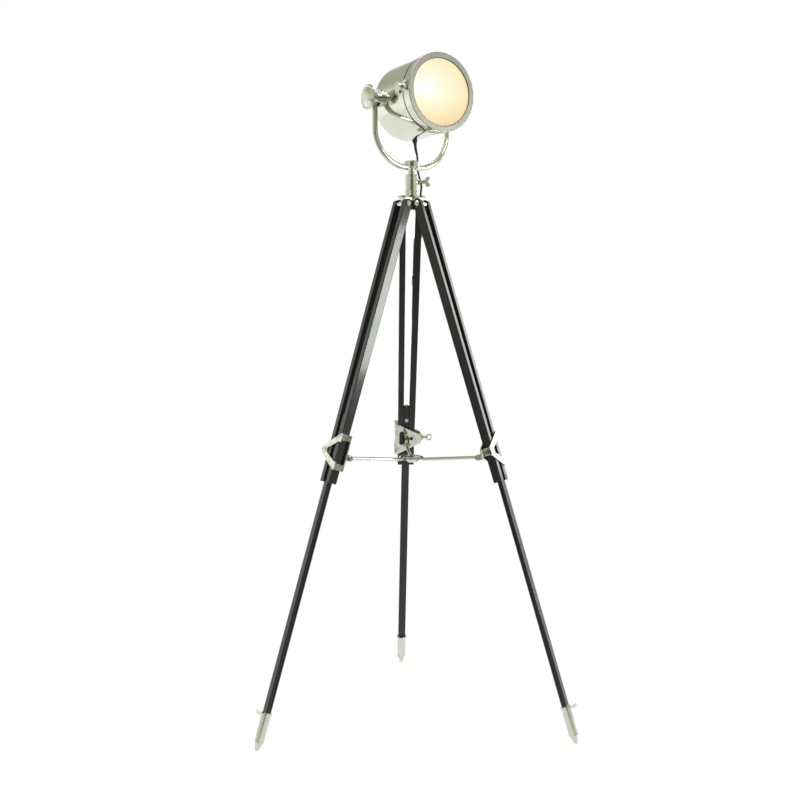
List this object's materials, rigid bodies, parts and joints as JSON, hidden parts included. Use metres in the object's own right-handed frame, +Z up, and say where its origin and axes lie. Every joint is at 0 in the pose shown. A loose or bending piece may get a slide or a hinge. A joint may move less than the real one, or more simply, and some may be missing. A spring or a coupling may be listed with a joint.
{
  "type": "tripod spotlight floor lamp",
  "caption": "Drum spotlight in a U-shaped fork on a folding tripod of black wooden legs with polished clamps, a spreader, telescoping feet and a cord.",
  "frame": {"origin": "point on the floor under the stem axis, midway between the three feet", "axes": "+Z up along the stem, +Y towards the rear foot, +X to the right when seen from the front; the lens looks towards -Y and +X"},
  "size_m": [0.7392, 0.6431, 1.5745],
  "materials": {
    "polished_nickel": "polished",
    "satin_nickel": "satin",
    "steel_screw": "polished",
    "black_wood": "black lacquer",
    "frosted_glass": "frosted, lit",
    "rubber": "matt",
    "reflector_aluminium": "polished",
    "holder_plastic": "ceramic white",
    "bulb_glass": "opal",
    "cord_black": "matt black",
    "strap_fabric": "woven black"
  },
  "bodies": {
    "crown": {"crown": "polished_nickel", "sleeve": "polished_nickel", "grommet": "rubber", "cord_stem": "cord_black", "cord_leg": "cord_black"},
    "stem_screw": {"stem_screw": "polished_nickel"},
    "yoke": {"stem": "polished_nickel", "fork": "polished_nickel", "cord_guide": "polished_nickel", "cord_head": "cord_black"},
    "head": {"drum": "polished_nickel", "trunnion_left": "polished_nickel", "trunnion_right": "polished_nickel", "latch_plate": "polished_nickel", "hinge_drum": "polished_nickel", "rear_cap": "polished_nickel", "reflector": "reflector_aluminium", "lampholder": "holder_plastic", "bulb": "bulb_glass", "gland": "rubber"},
    "latch_screw": {"latch_screw": "polished_nickel"},
    "tilt_knob_left": {"tilt_knob_left": "polished_nickel"},
    "tilt_knob_right": {"tilt_knob_right": "polished_nickel"},
    "bezel": {"bezel": "satin_nickel", "lens": "frosted_glass", "gasket": "rubber", "retainer": "satin_nickel", "hinge_bezel": "polished_nickel"},
    "spreader_disc": {"spreader_disc": "polished_nickel"},
    "upper_rear": {"slat_cw_rear": "black_wood", "slat_ccw_rear": "black_wood", "pivot_bolt_rear": "polished_nickel", "clamp_rear": "polished_nickel", "coil_strap": "strap_fabric", "cord_coil": "cord_black", "cord_tail": "cord_black", "plug": "cord_black"},
    "lower_rear": {"lower_leg_rear": "black_wood", "ferrule_rear": "polished_nickel", "stop_screw_rear": "steel_screw"},
    "thumb_rear": {"thumbscrew_rear": "polished_nickel"},
    "rod_rear": {"spreader_rod_rear": "polished_nickel"},
    "upper_left": {"slat_cw_left": "black_wood", "slat_ccw_left": "black_wood", "pivot_bolt_left": "polished_nickel", "clamp_left": "polished_nickel"},
    "lower_left": {"lower_leg_left": "black_wood", "ferrule_left": "polished_nickel", "stop_screw_left": "steel_screw"},
    "thumb_left": {"thumbscrew_left": "polished_nickel"},
    "rod_left": {"spreader_rod_left": "polished_nickel"},
    "upper_right": {"slat_cw_right": "black_wood", "slat_ccw_right": "black_wood", "pivot_bolt_right": "polished_nickel", "clamp_right": "polished_nickel"},
    "lower_right": {"lower_leg_right": "black_wood", "ferrule_right": "polished_nickel", "stop_screw_right": "steel_screw"},
    "thumb_right": {"thumbscrew_right": "polished_nickel"},
    "rod_right": {"spreader_rod_right": "polished_nickel"}
  },
  "joints": [
    {"name": "fold_rear", "type": "hinge", "parent": "crown", "child": "upper_rear", "pos_m": [0, 0.027, 1.242], "axis": [-1, 0, 0], "range_deg": [0, 10], "deforming": ["cord_leg"]},
    {"name": "retract_rear", "type": "slide", "parent": "upper_rear", "child": "lower_rear", "axis": [0, -0.3017, 0.9534], "range_m": [0, 0.48]},
    {"name": "thumb_turn_rear", "type": "hinge", "parent": "upper_rear", "child": "thumb_rear", "pos_m": [0.045, 0.21003, 0.66357], "axis": [1, 0, 0], "range_deg": [0, 360]},
    {"name": "rod_swing_rear", "type": "hinge", "parent": "upper_rear", "child": "rod_rear", "pos_m": [0, 0.17734, 0.64589], "axis": [1, 0, 0], "range_deg": [0, 77.49]},
    {"name": "fold_left", "type": "hinge", "parent": "crown", "child": "upper_left", "pos_m": [-0.02338, -0.0135, 1.242], "axis": [0.5, -0.866, 0], "range_deg": [0, 10]},
    {"name": "retract_left", "type": "slide", "parent": "upper_left", "child": "lower_left", "axis": [0.2613, 0.1508, 0.9534], "range_m": [0, 0.48]},
    {"name": "thumb_turn_left", "type": "hinge", "parent": "upper_left", "child": "thumb_left", "pos_m": [-0.20439, -0.06604, 0.66357], "axis": [-0.5, 0.866, 0], "range_deg": [0, 360]},
    {"name": "rod_swing_left", "type": "hinge", "parent": "upper_left", "child": "rod_left", "pos_m": [-0.15358, -0.08867, 0.64589], "axis": [-0.5, 0.866, 0], "range_deg": [0, 77.49]},
    {"name": "fold_right", "type": "hinge", "parent": "crown", "child": "upper_right", "pos_m": [0.02338, -0.0135, 1.242], "axis": [0.5, 0.866, 0], "range_deg": [0, 10]},
    {"name": "retract_right", "type": "slide", "parent": "upper_right", "child": "lower_right", "axis": [-0.2613, 0.1508, 0.9534], "range_m": [0, 0.48]},
    {"name": "thumb_turn_right", "type": "hinge", "parent": "upper_right", "child": "thumb_right", "pos_m": [0.15939, -0.14399, 0.66357], "axis": [-0.5, -0.866, 0], "range_deg": [0, 360]},
    {"name": "rod_swing_right", "type": "hinge", "parent": "upper_right", "child": "rod_right", "pos_m": [0.15358, -0.08867, 0.64589], "axis": [-0.5, -0.866, 0], "range_deg": [0, 77.49]},
    {"name": "disc_drop", "type": "slide", "parent": "crown", "child": "spreader_disc", "axis": [0, 0, -1], "range_m": [0, 0.14989]},
    {"name": "stem_screw_turn", "type": "hinge", "parent": "crown", "child": "stem_screw", "pos_m": [0.02, 0, 1.297], "axis": [1, 0, 0], "range_deg": [0, 360]},
    {"name": "yoke_pan", "type": "hinge", "parent": "crown", "child": "yoke", "pos_m": [0, 0, 1.3], "axis": [0, 0, 1], "range_deg": [-90, 90], "deforming": ["cord_stem"]},
    {"name": "head_tilt", "type": "hinge", "parent": "yoke", "child": "head", "pos_m": [0, 0, 1.4825], "axis": [-0.875, -0.484, 0], "range_deg": [-35, 60], "deforming": ["cord_head"]},
    {"name": "knob_turn_left", "type": "hinge", "parent": "head", "child": "tilt_knob_left", "pos_m": [-0.09188, -0.05083, 1.4825], "axis": [-0.875, -0.484, 0], "range_deg": [0, 360]},
    {"name": "knob_turn_right", "type": "hinge", "parent": "head", "child": "tilt_knob_right", "pos_m": [0.09188, 0.05083, 1.4825], "axis": [0.875, 0.484, 0], "range_deg": [0, 360]},
    {"name": "latch_turn", "type": "hinge", "parent": "head", "child": "latch_screw", "pos_m": [-0.03082, -0.12951, 1.49241], "axis": [-0.8726, -0.4806, 0.0871], "range_deg": [0, 360]},
    {"name": "bezel_open", "type": "hinge", "parent": "head", "child": "bezel", "pos_m": [0.13317, -0.0455, 1.48468], "axis": [-0.0101, 0.0183, 0.9998], "range_deg": [0, 110]}
  ],
  "couplings": [
    {"joint": "rod_swing_rear", "follows": "fold_rear", "ratio": 7.7441},
    {"joint": "fold_left", "follows": "fold_rear", "ratio": 1},
    {"joint": "rod_swing_left", "follows": "fold_rear", "ratio": 7.7441},
    {"joint": "fold_right", "follows": "fold_rear", "ratio": 1},
    {"joint": "rod_swing_right", "follows": "fold_rear", "ratio": 7.7441},
    {"joint": "disc_drop", "follows": "fold_rear", "m_per_rad": 0.85824}
  ]
}
